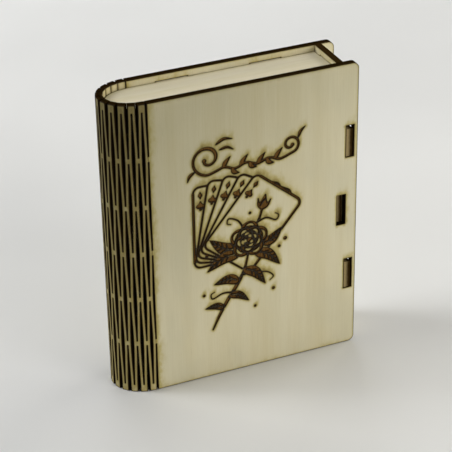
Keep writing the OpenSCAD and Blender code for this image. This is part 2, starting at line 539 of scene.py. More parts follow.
def smoke_map(low, high, distance, sources, halo=None):
    """How smoke-stained each cell from low on is, from 0 to 1. The smoke of each cut drifts up and a little
    to the right, and halo(points) adds a stain of its own."""
    x = np.arange(low[0], high[0] + SMOKE_CELL, SMOKE_CELL)
    y = np.arange(low[1], high[1] + SMOKE_CELL, SMOKE_CELL)
    points = lattice(x, y)
    source = np.clip(1.5 - distance(points) / SMOKE_REACH, 0, 1) * sources(points)
    source = source.reshape(len(x), len(y))
    rng = np.random.default_rng(7)
    knots = np.arange(low[0], high[0] + 2 * GUST_WIDTH, GUST_WIDTH)
    gusts = np.interp(x, knots, rng.uniform(0.5, 1.0, len(knots)))
    stain = np.zeros_like(source)
    row = np.zeros(len(x))
    fade = math.exp(-SMOKE_CELL / SMOKE_RISE)
    for j in range(len(y)):
        spread = 0.25 * np.roll(row, 1) + 0.5 * row + 0.25 * np.roll(row, -1)
        row = (0.7 * spread + 0.3 * np.roll(spread, 1)) * fade
        row = np.maximum(row, source[:, j] * gusts)
        stain[:, j] = row
    if halo:
        stain = np.maximum(stain, halo(points).reshape(stain.shape))
    return np.array(low), np.clip(stain, 0, 1)


def smoke_at(points, smoke):
    """The smoke map at the points."""
    low, stain = smoke
    return bilinear(stain, np.clip((points - low) / SMOKE_CELL, 0, np.array(stain.shape) - 1.001))


# ---- meshes
FACE, EDGE, BURNT = 0, 1, 2
WOOD_LAYERS = (
    # name, kind, field, and its columns in a builder's rows
    ("at", "FLOAT_VECTOR", "vector", slice(3, 6)),
    ("cut", "FLOAT", "value", 6),
    ("soot", "FLOAT", "value", 7),
)
SHARP_ANGLE = 28


class Builder:
    """Collects points with their wood layers and faces with their material, and makes the object. A point's
    row is its place, its place in the sheet, its distance to a cut and its stain."""

    def __init__(self):
        self.rows = np.empty((0, 8))
        self.faces = []
        self.kinds = []

    def add(self, place, at, cut, soot):
        """Adds points, and gives back their numbers."""
        start = len(self.rows)
        wood = [np.broadcast_to(values, len(place)) for values in (cut, soot)]
        self.rows = np.concatenate([self.rows, np.column_stack([place, at, *wood])])
        return np.arange(start, len(self.rows))

    def face(self, faces, kind):
        faces = [tuple(int(i) for i in f) for f in faces]
        self.faces += faces
        self.kinds += [kind] * len(faces)

    def drop_unused(self):
        """Takes out the points that no face uses."""
        used = np.zeros(len(self.rows), bool)
        used[np.concatenate([np.array(f) for f in self.faces])] = True
        renumber = np.cumsum(used) - 1
        self.rows = self.rows[used]
        self.faces = [tuple(int(renumber[i]) for i in f) for f in self.faces]

    def make(self, name, materials):
        """The object, in metres, with its normals outwards and its creases sharp."""
        mesh = bpy.data.meshes.new(name)
        mesh.from_pydata((self.rows[:, :3] * MM).tolist(), [], self.faces)
        for label, kind, field, columns in WOOD_LAYERS:
            layer = mesh.attributes.new(label, kind, "POINT")
            layer.data.foreach_set(field, self.rows[:, columns].astype(np.float32).ravel())
        for material in materials:
            mesh.materials.append(material)
        mesh.polygons.foreach_set("material_index", self.kinds)
        mesh.validate(clean_customdata=False)
        turn_outwards(mesh)
        mesh.polygons.foreach_set("use_smooth", [True] * len(mesh.polygons))
        mesh.set_sharp_from_angle(angle=math.radians(SHARP_ANGLE))
        obj = bpy.data.objects.new(name, mesh)
        bpy.context.scene.collection.objects.link(obj)
        return obj


def turn_outwards(mesh):
    """Makes the face normals point out of the closed mesh."""
    work = bmesh.new()
    work.from_mesh(mesh)
    bmesh.ops.recalc_face_normals(work, faces=work.faces)
    work.to_mesh(mesh)
    work.free()


class Plate(Builder):
    """A laser-cut plate. loops are its outline, anticlockwise, and its holes, clockwise. put(points, depth)
    puts plate points in the frame at a depth below the first face. sheet is where in the sheet it was cut."""

    def __init__(self, loops, put, sheet, smoke, grain_up=True):
        super().__init__()
        self.rings = [resample(loop, EDGE_STEP) for loop in loops]
        self.insets = [offset(ring, EASE) for ring in self.rings]
        self.put = put
        self.sheet = sheet
        self.smoke = smoke
        self.grain_up = grain_up

    def add_at(self, points, depth, cut):
        """Adds plate points at a depth, with their place in the sheet and their stain."""
        lying = points if self.grain_up else points[:, ::-1]
        at = np.column_stack([lying + self.sheet, np.broadcast_to(depth, len(points))])
        return self.add(self.put(points, depth), at, cut, smoke_at(points, self.smoke))

    def cut_sides(self):
        """Adds the sides with eased corners, and gives back the points that they share with the two faces."""
        levels = (0.0, EASE, PLY * 0.27, PLY * 0.5, PLY * 0.73, PLY - EASE, PLY)
        rims = []
        for ring, inset in zip(self.rings, self.insets):
            ids = [self.add_at(inset if depth in (0.0, PLY) else ring, depth, 0) for depth in levels]
            for upper, lower in zip(ids, ids[1:]):
                self.face(zip(upper, np.roll(upper, -1), np.roll(lower, -1), lower), EDGE)
            rims.append((ids[0], ids[-1]))
        return [np.concatenate(rim) for rim in zip(*rims)]

    def free_points(self, carved):
        """Points inside a face: a grid, rows beside the cuts, and a finer grid round what is carved."""
        grid = grid_points(np.min(self.rings[0], axis=0), np.max(self.rings[0], axis=0), FACE_STEP)
        rows = [offset(ring, distance) for ring in self.rings for distance in BESIDE_CUT]
        free = np.concatenate([grid] + rows)
        free = free[inside(free, self.rings)]
        free = free[loops_distance(free, self.rings) > FACE_CLEAR]
        if carved is None:
            return free
        fine = grid_points(carved.low, (carved.x[-1], carved.y[-1]), ART_STEP)
        reach = FAR * 0.8
        fine = fine[np.abs(carved.sample(fine)) < reach]
        free = np.concatenate([free[np.abs(carved.sample(free)) >= reach], fine])
        return free[np.abs(carved.sample(free)) > ART_CLEAR]

    def fill_face(self, depth, rim, carved):
        """Fills a face between the points of its rim, and sinks what is carved."""
        edges = []
        start = 0
        for inset in self.insets:
            edges += [(start + i, start + (i + 1) % len(inset)) for i in range(len(inset))]
            start += len(inset)
        points = list(self.insets)
        if carved is not None:
            outline, links = carved.outline()
            points.append(outline)
            edges += [(a + len(rim), b + len(rim)) for a, b in links]
        points.append(self.free_points(carved))
        corners, triangles, source = triangulate(np.concatenate(points), edges)
        triangles = triangles[inside(corners[triangles].mean(axis=1), self.insets)]
        cut = loops_distance(corners, self.rings)
        burnt = np.zeros(len(triangles), bool)
        if carved is not None:
            cut = np.minimum(cut, np.abs(carved.sample(corners)))
            burnt = carved.sample(corners[triangles].mean(axis=1)) < 0
        new = self.add_at(corners, depth, cut)
        index = np.array([rim[s] if 0 <= s < len(rim) else new[i] for i, s in enumerate(source)])
        self.face(index[triangles[~burnt]], FACE)
        if burnt.any():
            self.sink(corners, triangles, burnt, index, cut)

    def sink(self, corners, triangles, burnt, index, cut):
        """Puts the burnt triangles on a slightly uneven floor, with walls along their outline."""
        waves = np.sin(corners[:, 0] * 2.1) * np.sin(corners[:, 1] * 1.7)
        deep = self.add_at(corners, ART_DEPTH + ART_UNEVEN * waves, cut)
        self.face(deep[triangles[burnt]], BURNT)
        seen = {}
        for t, sunk in zip(triangles, burnt):
            for a, b in ((t[0], t[1]), (t[1], t[2]), (t[2], t[0])):
                seen.setdefault((min(a, b), max(a, b)), []).append(sunk)
        walls = [edge for edge, kinds in seen.items() if len(kinds) == 2 and kinds[0] != kinds[1]]
        self.face([(index[a], index[b], deep[b], deep[a]) for a, b in walls], BURNT)

    def finished(self, name, materials, carved=None):
        """The plate's object, with what is carved sunk into its first face."""
        first_rim, last_rim = self.cut_sides()
        self.fill_face(0.0, first_rim, carved)
        self.fill_face(PLY, last_rim, None)
        self.drop_unused()
        return self.make(name, materials)


# ---- outlines of the plates
def cover_loops():
    """The outline of a cover, with the stubs that join it to the hinge's first strip."""
    stub = -(SLIT / 2 + 2 * EASE)
    edge = SLIT / 2
    points = [(edge, 0)]
    points += arc((COVER_W - CORNER_R, CORNER_R), CORNER_R, -90, 0)
    points += arc((COVER_W - CORNER_R, HEIGHT - CORNER_R), CORNER_R, 0, 90)
    points += [(edge, HEIGHT)]
    for bottom, top in reversed(EVEN_ROWS):
        points += [(edge, top), (stub, top), (stub, bottom), (edge, bottom)]
    return np.array(points)


def hole(x0, y0, x1, y1):
    """A rectangular hole, clockwise."""
    return rectangle(x0, y0, x1, y1)[::-1]


def front_loops():
    """The front cover in X and Z, with the slots for the catch and the closure strip."""
    holes = [hole(CATCH_SLOT_X[0], MID - CATCH_SLOT_H / 2, CATCH_SLOT_X[1], MID + CATCH_SLOT_H / 2)]
    for z in SLOT_Z:
        holes.append(hole(SLOT_X[0], z - SLOT_H / 2, SLOT_X[1], z + SLOT_H / 2))
    return [cover_loops()] + holes


def back_loops():
    """The back cover in X and Z, with the holes for the boards' and the wall's tabs."""
    half = TAB_L / 2 + TAB_GAP
    holes = [hole(x - half, z - TAB_GAP, x + half, z + PLY + TAB_GAP)
             for x in BOARD_TAB_X for z in BOARD_Z]
    for z in SLOT_Z:
        holes.append(hole(WALL_IN - TAB_GAP, z - half, WALL_OUT + TAB_GAP, z + half))
    return [cover_loops()] + holes


def board_loops():
    """A board seen from above, with its tabs for the back cover and the wall."""
    front, back, tip = BOARD_GAP - INNER, INNER, OUTER - TAB_RECESS
    points = list((LINK_MIDDLE + LINK_INWARD * (PLY / 2 + BOARD_END_GAP))[::-1])
    points += [(BOARD_LEAD, front), (WALL_IN, front), (WALL_IN, -WALL_TAB_W / 2)]
    points += [(WALL_OUT - TAB_RECESS, -WALL_TAB_W / 2), (WALL_OUT - TAB_RECESS, WALL_TAB_W / 2)]
    points += [(WALL_IN, WALL_TAB_W / 2), (WALL_IN, back)]
    for x in reversed(BOARD_TAB_X):
        points += [(x + TAB_L / 2, back), (x + TAB_L / 2, tip), (x - TAB_L / 2, tip), (x - TAB_L / 2, back)]
    points += [(BOARD_LEAD, back)]
    return [np.array(points)]


def wall_loops():
    """The fore-edge wall in Y and Z, with its catch, its tabs and the slots for the boards' tabs."""
    front, catch, tip = BOARD_GAP - INNER, -INNER - CATCH_REACH, OUTER - TAB_RECESS
    points = [(front, 0), (INNER, 0)]
    for z in SLOT_Z:
        low, high = z - TAB_L / 2, z + TAB_L / 2
        points += [(INNER, low), (tip, low), (tip, high), (INNER, high)]
    points += [(INNER, HEIGHT), (front, HEIGHT), (front, MID + CATCH_H / 2), (catch, MID + CATCH_H / 2)]
    points += [(catch, MID - CATCH_H / 2), (front, MID - CATCH_H / 2)]
    half = WALL_TAB_W / 2 + TAB_GAP
    holes = [hole(-half, z - TAB_GAP, half, z + PLY + TAB_GAP) for z in BOARD_Z]
    return [np.array(points)] + holes


def closure_loops():
    """The closure strip in Y and Z: two tabs for the front cover, and a body with rounded inner corners."""
    low, high = CLOSURE_LOW[2], CLOSURE_HIGH[2]
    tip, inner = CLOSURE_LOW[1], CLOSURE_HIGH[1]
    round_at = inner - CLOSURE_CORNER_R
    points = [(tip, low)] + arc((round_at, low + CLOSURE_CORNER_R), CLOSURE_CORNER_R, -90, 0)
    points += arc((round_at, high - CLOSURE_CORNER_R), CLOSURE_CORNER_R, 0, 90)
    points += [(tip, high), (tip, high - CLOSURE_TAB_H), (-INNER, high - CLOSURE_TAB_H)]
    points += [(-INNER, low + CLOSURE_TAB_H), (tip, low + CLOSURE_TAB_H)]
    return [np.array(points)]


# ---- where the plates go
def columns(x, y, z):
    """Places as rows of x, y and z, with single numbers repeated."""
    return np.stack(np.broadcast_arrays(x, y, z), 1).astype(float)


def on_front(points, depth):
    return columns(SPINE_X + points[:, 0], depth - OUTER, points[:, 1])


def on_back(points, depth):
    return columns(SPINE_X + points[:, 0], OUTER - depth, points[:, 1])


def on_board(top):
    return lambda points, depth: columns(SPINE_X + points[:, 0], points[:, 1], top - depth)


def across(x_out):
    return lambda points, depth: columns(x_out - depth, points[:, 0], points[:, 1])


# ---- the hinge
def link_rows(k):
    """The rows of bridges that link k has; link 0 is the front cover and the last one the back cover."""
    return EVEN_ROWS if k % 2 == 0 else ODD_ROWS


def row_stretch(row):
    """From where to where a row's link holds its strips: halfway to the neighbouring rows' bridges."""
    i = ROWS.index(row)
    low = 0.0 if i == 0 else (ROWS[i - 1][1] + row[0]) / 2
    high = HEIGHT if i == len(ROWS) - 1 else (row[1] + ROWS[i + 1][0]) / 2
    return low, high


def strip_turn(k, z):
    """Which share of the turn from the link before it to the link after it strip k has at each height."""
    late_rows = link_rows(k + 1)
    share = np.full(len(z), float(ROWS[0] in late_rows))
    for lower, upper in zip(ROWS, ROWS[1:]):
        t = np.clip((z - lower[1]) / (upper[0] - lower[1]), 0, 1)
        turn = 0.5 * t + 0.5 * t * t * (3 - 2 * t)
        share = np.where(z >= lower[1], turn if upper in late_rows else 1 - turn, share)
    return share


def strip_axes(k, share):
    """Strip k's middle where it has turned by each share, and the directions along and out of the sheet."""
    turn = LINK_TURN[k] + (LINK_TURN[k + 1] - LINK_TURN[k]) * share
    along = np.stack([-np.cos(turn), np.sin(turn)], 1)
    outward = np.stack([-np.sin(turn), -np.cos(turn)], 1)
    pivot = (SPINE_X, 0) + LINK_MIDDLE[k] + LINK_ALONG[k] * PITCH / 2
    return pivot + along * ((share * 2 - 1) * (PITCH / 2 - STRIP_X))[:, None], along, outward


def slit_distance(side, z, rows):
    """Distance to a slit that runs along one side of a strip and stops at its rows of bridges."""
    inward = np.zeros(len(z))
    for bottom, top in rows:
        inward = np.maximum(inward, np.minimum(z - bottom, top - z))
    return np.hypot(side, inward)


def strip_soot(z, depth):
    """The strips are browned all over, least at the bottom, beside the bridges and on the inside."""
    near = np.full(len(z), FAR * 3)
    for bottom, top in ROWS:
        near = np.minimum(near, np.abs(z - (bottom + top) / 2))
    return (0.44 + 0.10 * (z / HEIGHT) + 0.12 * np.clip(near / 6, 0, 1)) * (1 - 0.85 * depth / PLY)


STRIP_FLARE = 0.03
INNER_GAP = 0.05
STRIP_HALF = STRIP_W / 2

# A strip's cross-section runs over its outer face, down the side towards the next link, and back the same way
HALF_RING = [
    (EASE - STRIP_HALF, 0), (-0.2, 0), (0.2, 0), (STRIP_HALF - EASE, 0),
    *((STRIP_HALF, depth) for depth in (EASE, 0.8, PLY / 2, PLY - 0.8, PLY - EASE)),
]
STRIP_RING = np.array(HALF_RING + [(-side, PLY - depth) for side, depth in HALF_RING])
RING_KINDS = ([FACE] * 3 + [EDGE] * 6) * 2

# Its points on the side towards the next link and on the side towards the last one, both from the outside in
NEXT_SIDE = list(range(3, 10))
LAST_SIDE = [0] + list(range(17, 11, -1))

# The steps up a strip, how clear they stay of a bridge's ends, and how far beside those ends there are more
LEVEL_STEP = 0.8
LEVEL_CLEAR = 0.35
BRIDGE_END = 0.3


def open_flare(m):
    """How far the open sides beside link m flare inwards, so that the bend is nearly closed on its inside."""
    m = min(max(m, 1), STRIPS - 1)
    bend = LINK_TURN[m + 1] - LINK_TURN[m - 1]
    return PITCH - SLIT / 2 - STRIP_W - PLY / 4 * bend - INNER_GAP / 2


def strip_levels(row):
    """The heights at which a strip's stretch is cut: steps, and more near its ends and its bridge's ends."""
    low, high = row_stretch(row)
    steps = np.arange(low + LEVEL_STEP, high - LEVEL_STEP / 2, LEVEL_STEP)
    levels = {z for z in steps if min(abs(z - row[0]), abs(z - row[1])) > LEVEL_CLEAR}
    levels |= {end + side * BRIDGE_END for end in row for side in (-1, 0, 1)}
    levels |= {low, low + EASE, high - EASE, high}
    return np.array(sorted(z for z in levels if low <= z <= high))


def add_strip(build, k, row, closed_side):
    """Adds strip k's stretch at a row. closed_side tells which side the row's bridge is on: 1, -1 or 0 for
    neither. Gives back the levels' heights and the rings of point numbers."""
    levels = strip_levels(row)
    turned = strip_turn(k, levels)
    centre, along, outward = strip_axes(k, turned)
    ring_side, ring_depth = STRIP_RING.T
    rings = []
    for i, z in enumerate(levels):
        tuck = EASE if z in (0.0, HEIGHT) else 0.0
        depth = np.clip(ring_depth, tuck, PLY - tuck)
        opened = np.where(ring_side > 0, open_flare(k + 1) * (1 - turned[i]), open_flare(k) * turned[i])
        flare = np.where(np.abs(ring_side) > STRIP_HALF / 2, np.sign(ring_side) * (STRIP_FLARE + opened), 0)
        side = ring_side + flare * depth / PLY
        place = centre[i] + side[:, None] * along[i] + (PLY / 2 - depth)[:, None] * outward[i]
        zs = np.full(len(STRIP_RING), z)
        cut = np.minimum(slit_distance(STRIP_HALF + side, zs, link_rows(k)),
                         slit_distance(STRIP_HALF - side, zs, link_rows(k + 1)))
        cut = np.minimum(cut, min(z, HEIGHT - z))
        at = np.column_stack([-(2 * k + 1) * STRIP_X - side, zs, depth])
        rings.append(build.add(np.column_stack([place, zs]), at, cut, strip_soot(zs, depth)))
    add_strip_faces(build, levels, rings, row, closed_side)
    return levels, rings


def add_strip_faces(build, levels, rings, row, closed_side):
    """Joins a strip's rings, leaves its bridge's side open along the bridge, and closes both ends."""
    joined = {1: NEXT_SIDE, -1: LAST_SIDE, 0: []}[closed_side]
    for z, lower, upper in zip(levels, rings, rings[1:]):
        bridged = row[0] <= z < row[1]
        for j, kind in enumerate(RING_KINDS):
            n = (j + 1) % len(STRIP_RING)
            if not (bridged and j in joined and n in joined):
                build.face([(lower[j], lower[n], upper[n], upper[j])], kind)
    for cap in (rings[0], rings[-1]):
        build.face([(cap[j], cap[j + 1], cap[11 - j], cap[12 - j]) for j in range(3)], EDGE)
        build.face([tuple(cap[3:10]), tuple(np.append(cap[12:], cap[0]))], EDGE)


def slit_end(build, a, b, shift):
    """Points halfway between two strips' sides, moved up by shift, for the round end of the slit."""
    rows = (build.rows[a] + build.rows[b]) / 2
    place, at = rows[:, :3] + (0, 0, shift), rows[:, 3:6] + (0, shift, 0)
    return build.add(place, at, build.rows[a, 6], build.rows[a, 7])


def add_bridge(build, row, levels, before, after):
    """Joins two strips across the slit between them at a row, with a hollow at each end of the slit."""
    held = [i for i, z in enumerate(levels) if row[0] <= z <= row[1]]
    for z, i, near, sign in ((row[0], held[0], held[1], 1), (row[1], held[-1], held[-2], -1)):
        a, b = before[i][NEXT_SIDE], after[i][LAST_SIDE]
        ends = [a, b] if z in (0.0, HEIGHT) else [a, slit_end(build, a, b, sign * SLIT * 0.4), b]
        for one, other in zip(ends, ends[1:]):
            build.face(zip(one, one[1:], other[1:], other), EDGE)
        for end in (0, -1):
            loop = [a[end], before[near][NEXT_SIDE[end]], after[near][LAST_SIDE[end]], b[end]]
            build.face([loop + [middle[end] for middle in ends[1:-1]]], FACE)
    for i, n in zip(held[1:-2], held[2:-1]):
        for end in (0, -1):
            one, other = NEXT_SIDE[end], LAST_SIDE[end]
            build.face([(before[i][one], before[n][one], after[n][other], after[i][other])], FACE)


def hinge_link(k, materials):
    """Link k of the hinge: at each of its rows, two twisting strips and the bridge between them."""
    build = Builder()
    for row in link_rows(k):
        levels, before = add_strip(build, k - 1, row, 1)
        after = add_strip(build, k, row, -1)[1]
        add_bridge(build, row, levels, before, after)
    obj = build.make(f"hinge_link_{k:02d}", materials)
    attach(obj, f"link_{k:02d}")
    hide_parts(f"spine_link_{k:02d}")


def hinge_border(name, k, body, materials):
    """The stretches of the first or last strip that its cover's own bridges hold."""
    build = Builder()
    for row in EVEN_ROWS:
        add_strip(build, k, row, 0)
    obj = build.make(name, materials)
    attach(obj, body)


# ---- materials
class Graph:
    """A short way to write a material's nodes. An input is a socket or a plain value."""

    def __init__(self, name):
        self.material = bpy.data.materials.new(name)
        self.material.use_nodes = True
        self.tree = self.material.node_tree
        self.tree.nodes.clear()

    def add(self, kind, inputs=(), **settings):
        node = self.tree.nodes.new(kind)
        for key, value in settings.items():
            setattr(node, key, value)
        for key, value in dict(inputs).items():
            socket = node.inputs[key]
            if isinstance(value, bpy.types.NodeSocket):
                self.tree.links.new(value, socket)
            else:
                socket.default_value = value
        return node

    def attribute(self, name, output):
        return self.add("ShaderNodeAttribute", attribute_name=name).outputs[output]

    def math(self, operation, a, b, clamp=False):
        return self.add("ShaderNodeMath", {0: a, 1: b}, operation=operation, use_clamp=clamp).outputs[0]

    def times(self, a, b, clamp=False):
        return self.math("MULTIPLY", a, b, clamp)

    def noise(self, vector, scale, detail, roughness, shift=(0, 0, 0), distortion=0.0):
        inputs = {"Vector": vector, "Scale": scale, "Location": shift}
        place = self.add("ShaderNodeMapping", inputs).outputs[0]
        inputs = {"Vector": place, "Scale": 1.0, "Detail": detail, "Roughness": roughness,
                  "Distortion": distortion}
        return self.add("ShaderNodeTexNoise", inputs).outputs["Fac"]

    def ramp(self, value, start, end, low=0.0, high=1.0):
        inputs = {"Value": value, "From Min": start, "From Max": end, "To Min": low, "To Max": high}
        settings = {"interpolation_type": "SMOOTHSTEP", "clamp": True}
        return self.add("ShaderNodeMapRange", inputs, **settings).outputs[0]

    def mix(self, factor, a, b, blend="MIX"):
        inputs = {0: factor, 6: a, 7: b}
        return self.add("ShaderNodeMix", inputs, data_type="RGBA", blend_type=blend).outputs[2]

    def finish(self, colour, roughness, height, bump=0.3, distance=0.0001, specular=0.3):
        inputs = {"Height": height, "Strength": bump, "Distance": distance}
        normal = self.add("ShaderNodeBump", inputs).outputs[0]
        inputs = {"Base Color": colour, "Roughness": roughness, "Specular IOR Level": specular,
                  "Normal": normal}
        shader = self.add("ShaderNodeBsdfPrincipled", inputs)
        output = self.add("ShaderNodeOutputMaterial")
        self.tree.links.new(shader.outputs[0], output.inputs["Surface"])
        return self.material


def srgb(r, g, b):
    """A linear colour from sRGB values of 0 to 255."""
    def linear(c):
        c /= 255
        return c / 12.92 if c <= 0.04045 else ((c + 0.055) / 1.055) ** 2.4
    return (linear(r), linear(g), linear(b), 1.0)


CREAM = srgb(227, 220, 190)
CREAM_DARK = srgb(220, 211, 176)
CREAM_GREY = srgb(213, 208, 180)
HONEY = srgb(184, 168, 88)
TAN = srgb(128, 107, 44)
BROWN = srgb(84, 60, 22)
CHAR = srgb(27, 18, 4)


def ply_face(name, pale=CREAM, smoke_tone=1.0, char_width=0.28, shade_towards=(0, 0, 0), shade_tone=214,
             honey=HONEY):
    """The face of the plywood: pale veneer with fine grain, charred along the cuts and smoke-stained beside
    them. Painted shade: the outside of the veneer is darkened in the direction given, whose length is the share
    per mm, standing in for the light falling off across the face."""
    g = Graph(name)
    at, cut, soot = g.attribute("at", "Vector"), g.attribute("cut", "Fac"), g.attribute("soot", "Fac")
    bands = g.noise(at, (0.11, 0.006, 0.1), 3, 0.55, distortion=0.3)
    fibres = g.noise(at, (1.7, 0.045, 0.6), 4, 0.62)
    fine = g.noise(at, (6.5, 0.22, 2.0), 3, 0.6, (3, 1, 0))
    pores = g.ramp(g.noise(at, (3.6, 0.16, 1.0), 2, 0.5, (9, 4, 2)), 0.66, 0.78)
    blotch = g.noise(at, (0.05, 0.03, 0.1), 2, 0.5, (5, 5, 0))
    colour = g.mix(g.ramp(bands, 0.3, 0.72), pale, CREAM_DARK)
    colour = g.mix(g.ramp(blotch, 0.4, 0.8, 0.0, 0.7), colour, CREAM_GREY)
    grain = g.math("ADD", g.times(g.ramp(fibres, 0.3, 0.75), 0.6), g.times(fine, 0.4))
    colour = g.mix(g.times(grain, 0.22), colour, srgb(188, 174, 130))
    colour = g.mix(g.times(pores, 0.22), colour, srgb(150, 126, 82))
    wisp = g.noise(at, (0.45, 0.25, 0.2), 3, 0.55, (2, 7, 0))
    stain = g.times(soot, g.ramp(wisp, 0.25, 0.75, 0.55 * smoke_tone, 1.25 * smoke_tone), True)
    colour = g.mix(g.ramp(stain, 0.05, 0.48, 0.0, 0.75), colour, honey)
    colour = g.mix(g.ramp(stain, 0.3, 0.95, 0.0, 0.82), colour, TAN)
    colour = g.mix(g.ramp(stain, 0.65, 1.05, 0.0, 0.6), colour, BROWN)
    edge = g.math("ADD", cut, g.times(g.math("SUBTRACT", wisp, 0.5), 0.22))
    colour = g.mix(g.ramp(edge, 0.25, 1.15, 0.42, 0.0), colour, HONEY)
    colour = g.mix(g.ramp(edge, 0.1, 0.55, 0.65, 0.0), colour, BROWN)
    colour = g.mix(g.ramp(edge, 0.03, char_width, 0.95, 0.0), colour, CHAR)
    # Painted shade: a straight gradient across the sheet darkens the outer veneer only, where less light falls
    towards = g.add("ShaderNodeVectorMath", {0: at, 1: shade_towards}, operation="DOT_PRODUCT").outputs["Value"]
    painted_shade = g.ramp(towards, 0.0, 0.95)
    depth = g.add("ShaderNodeSeparateXYZ", {0: at}).outputs[2]
    painted_shade = g.times(painted_shade, g.ramp(depth, 0.5, 2.5, 1.0, 0.0))
    colour = g.mix(painted_shade, colour, srgb(shade_tone, shade_tone, shade_tone - 6), "MULTIPLY")
    height = g.math("SUBTRACT", g.math("ADD", fibres, g.times(fine, 0.6)), pores)
    roughness = g.ramp(fibres, 0.2, 0.8, 0.56, 0.72)
    return g.finish(colour, roughness, height, 0.35, 0.00006)


def cut_edge(name):
    """A laser-cut edge: charred plies, the middle one darkest, with the beam's fine striations."""
    g = Graph(name)
    at = g.attribute("at", "Vector")
    depth = g.add("ShaderNodeSeparateXYZ", {0: at}).outputs[2]
    wave = g.noise(at, (0.5, 0.5, 0.4), 2, 0.5)
    ply_at = g.math("ADD", depth, g.times(g.math("SUBTRACT", wave, 0.5), 0.3))
    middle = g.times(g.ramp(ply_at, 0.9, 1.05), g.ramp(ply_at, 1.95, 2.1, 1.0, 0.0))
    striae = g.noise(at, (7.0, 7.0, 0.25), 3, 0.6, (1, 2, 3))
    patches = g.noise(at, (0.35, 0.35, 0.9), 3, 0.6, (4, 4, 0))
    colour = g.mix(g.ramp(patches, 0.35, 0.8, 0.0, 0.8), srgb(36, 25, 9), srgb(50, 35, 11))
    colour = g.mix(g.times(middle, 0.55), colour, srgb(18, 11, 2))
    colour = g.mix(g.ramp(striae, 0.5, 0.85, 0.0, 0.35), colour, srgb(76, 56, 20))
    height = g.math("ADD", striae, g.times(middle, -0.8))
    return g.finish(colour, g.ramp(striae, 0.2, 0.8, 0.85, 1.0), height, 0.5, 0.00008, 0.0)


def tab_edge(name, before):
    """A cut edge whose tab ends, which lie before a place in the sheet, are pale towards one face and dark
    towards the other: partly less charred ply, partly painted light where light falls on the tab end in its
    slot and painted shade where the slot's wall shades it.
    """
    g = Graph(name)
    at = g.attribute("at", "Vector")
    parts = g.add("ShaderNodeSeparateXYZ", {0: at}).outputs
    place, depth = parts[0], parts[2]
    streaks = g.noise(at, (2.2, 0.5, 1.2), 3, 0.6, (3, 3, 3))
    wobble = g.math("ADD", depth, g.times(g.math("SUBTRACT", streaks, 0.5), 0.9))
    # Painted light and shade on the tab ends, together with less charred ply: pale towards one face, dark
    # towards the other
    pale = g.times(g.ramp(wobble, 0.7, 2.5), g.math("LESS_THAN", place, before))
    colour = g.mix(pale, srgb(48, 34, 13), srgb(156, 138, 98))
    colour = g.mix(g.ramp(streaks, 0.55, 0.85, 0.0, 0.5), colour, srgb(70, 50, 20))
    return g.finish(colour, 0.9, streaks, 0.4, 0.00008, 0.0)


def burnt_wood(name):
    """The floor and walls of the burnt lines: brown, charred along their sides, with the raster's ridges."""
    g = Graph(name)
    at, cut = g.attribute("at", "Vector"), g.attribute("cut", "Fac")
    fibres = g.noise(at, (2.4, 0.25, 1.0), 3, 0.6)
    ridges = g.add("ShaderNodeTexWave", {"Vector": at, "Scale": 1.6, "Distortion": 0.4, "Detail": 1.0},
                   bands_direction="Y").outputs["Fac"]
    colour = g.mix(g.ramp(fibres, 0.3, 0.75), srgb(92, 62, 26), srgb(124, 90, 44))
    colour = g.mix(g.times(ridges, 0.2), colour, CHAR)
    colour = g.mix(g.ramp(cut, 0.05, 0.5, 0.85, 0.0), colour, CHAR)
    return g.finish(colour, 0.9, g.math("ADD", fibres, g.times(ridges, 0.5)), 0.4, 0.00008, 0.1)


# ---- the pieces
# A stain's strength at a cut, and how far it reaches
ART_HALO = (0.6, 1.0)
EDGE_HALO = (0.42, 0.9)
HINGE_HALO = (0.7, 2.0)

# How much smoke rises from the decoration and the slots, how much from the other cuts, and how near is at a cut
CUT_SMOKE = 1.0
EDGE_SMOKE = 0.4
AT_CUT = 0.75


def halo_at(distance, halo, wider=0.0):
    """The stain at a distance from a cut."""
    strength, width = halo
    return strength * np.exp(-distance / (width + wider))


def hinge_halo(points):
    """The yellow band beside the hinge's outermost slit, wider in some places than in others."""
    wider = 0.5 * np.sin(points[:, 1] * 0.11) + 0.3 * np.sin(points[:, 1] * 0.37 + 1)
    return halo_at(np.maximum(points[:, 0], 0), HINGE_HALO, wider)


def front_smoke(field):
    """The smoke map of the front cover, from its outline, slots and decoration."""
    loops = front_loops()
    slots = loops[1:]

    def distance(points):
        return np.minimum(loops_distance(points, loops), np.abs(field.sample(points)))

    def strength(points):
        at_slot = loops_distance(points, slots) < AT_CUT
        at_art = np.abs(field.sample(points)) < AT_CUT
        return np.where(at_slot | at_art, CUT_SMOKE, EDGE_SMOKE)

    def halo(points):
        near_art = halo_at(np.abs(field.sample(points)), ART_HALO)
        near_edge = halo_at(loops_distance(points, loops), EDGE_HALO)
        return np.maximum(hinge_halo(points), np.maximum(near_art, near_edge))

    return smoke_map((0, 0), (COVER_W, HEIGHT), distance, strength, halo)


def plain_smoke(loops, level, halo=None):
    """The smoke map of a plate without decoration."""
    low, high = np.min(loops[0], axis=0), np.max(loops[0], axis=0)

    def distance(points):
        return loops_distance(points, loops)

    def strength(points):
        return np.full(len(points), level)

    return smoke_map(low, high, distance, strength, halo)


def stand_for(obj, body, node):
    """Rides a piece on its body, in its CAD node's stead."""
    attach(obj, body)
    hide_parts(node)


def build_covers(cover_face, edge):
    """The two covers; only the front one is decorated."""
    field = decoration()
    # Painted shade: the front face darkens towards the top and the spine
    front_face = ply_face("front_face", shade_towards=(-0.006, 0.0075, 0))
    front = Plate(front_loops(), on_front, (0, 0), front_smoke(field))
    panel = front.finished("front_panel", [front_face, edge, burnt_wood("burnt_wood")], field)
    stand_for(panel, "cover", "front_cover")
    back = Plate(back_loops(), on_back, (140, 0), plain_smoke(back_loops(), 0.5, hinge_halo))
    stand_for(back.finished("back_panel", [cover_face, edge]), "tray", "back_cover")


